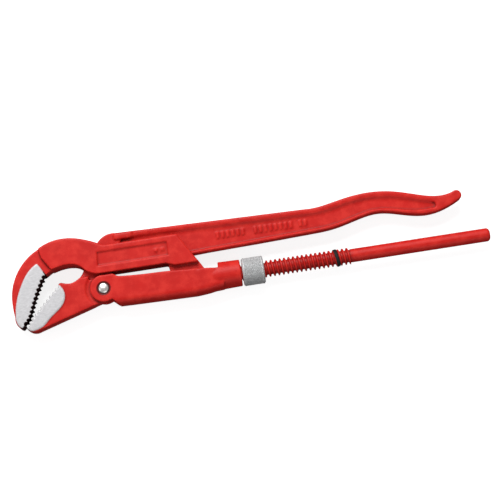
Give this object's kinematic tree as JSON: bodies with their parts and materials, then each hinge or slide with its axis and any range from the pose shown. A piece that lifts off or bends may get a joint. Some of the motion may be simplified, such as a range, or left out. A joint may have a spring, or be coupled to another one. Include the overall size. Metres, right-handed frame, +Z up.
{
  "type": "pipe wrench",
  "caption": "Two-handed pipe wrench with S-shaped toothed jaws at 45 degrees, a forged lever, a sliding hook jaw on a threaded rod and a knurled adjusting nut.",
  "frame": {"origin": "middle of the underside of the whole tool, lying flat with closed jaws", "axes": "+X along the screw rod from the jaws to the handle end, +Y from the rod towards the lever handle, +Z up through the thickness"},
  "size_m": [0.32, 0.0588, 0.0188],
  "materials": {
    "red_paint": "satin red paint on forged steel",
    "nut_steel": "bead-blasted grey steel",
    "bright_steel": "bright turned steel",
    "black_ring": "matt black"
  },
  "bodies": {
    "lever": {"handle_lever": "red_paint"},
    "arm": {"socket_arm": "red_paint", "pivot_rivet": "bright_steel"},
    "hook": {"hook_jaw": "red_paint", "screw_rod": "red_paint", "rod_cross_pin": "bright_steel", "stop_ring": "black_ring"},
    "nut": {"adjusting_nut": "nut_steel"}
  },
  "joints": [
    {"name": "jaw_pivot", "type": "hinge", "parent": "lever", "child": "arm", "pos_m": [-0.09899, -0.00788, 0.0094], "axis": [0, 0, -1], "range_deg": [0, 8]},
    {"name": "jaw_slide", "type": "slide", "parent": "arm", "child": "hook", "axis": [-1, 0, 0], "range_m": [0, 0.0375]},
    {"name": "nut_turn", "type": "hinge", "parent": "arm", "child": "nut", "pos_m": [0, -0.01063, 0.0094], "axis": [1, 0, 0], "range_deg": [0, 4510]}
  ],
  "couplings": [
    {"joint": "nut_turn", "follows": "jaw_slide", "rad_per_m": 2094.4}
  ]
}
